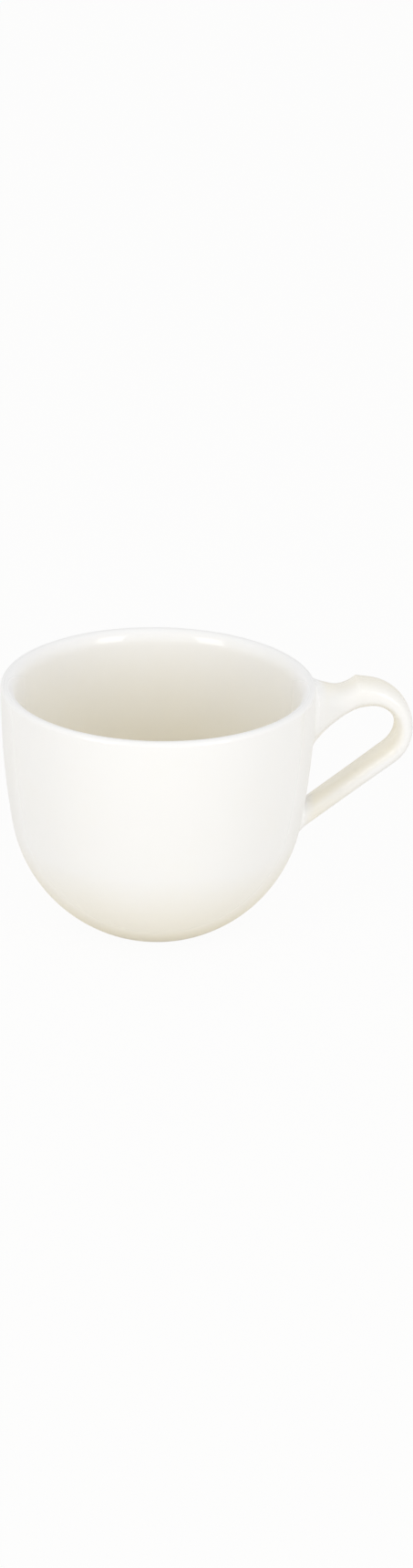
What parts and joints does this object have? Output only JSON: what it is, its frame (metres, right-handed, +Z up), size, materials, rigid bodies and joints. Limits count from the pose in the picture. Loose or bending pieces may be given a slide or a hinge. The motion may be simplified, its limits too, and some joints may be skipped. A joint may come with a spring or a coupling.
{
  "type": "breakfast cup",
  "caption": "Round-bellied breakfast cup in thick glazed porcelain, with a rounded lip, a low foot ring and a one-finger handle with a thumb rest, for a large hot drink.",
  "frame": {"origin": "centre of the foot ring, on the surface that the cup stands on", "axes": "+Z up along the axis of the bowl, +X towards the handle, which lies in the XZ plane"},
  "size_m": [0.132, 0.1, 0.082],
  "materials": {
    "glazed_porcelain": "glossy ivory-white glaze",
    "bare_porcelain": "glazed sides with a bare, ground standing edge"
  },
  "bodies": {
    "root": {"bowl": "glazed_porcelain", "foot_slip": "glazed_porcelain", "foot_ring": "bare_porcelain", "upper_handle_slip": "glazed_porcelain", "lower_handle_slip": "glazed_porcelain", "handle": "glazed_porcelain"}
  },
  "joints": []
}
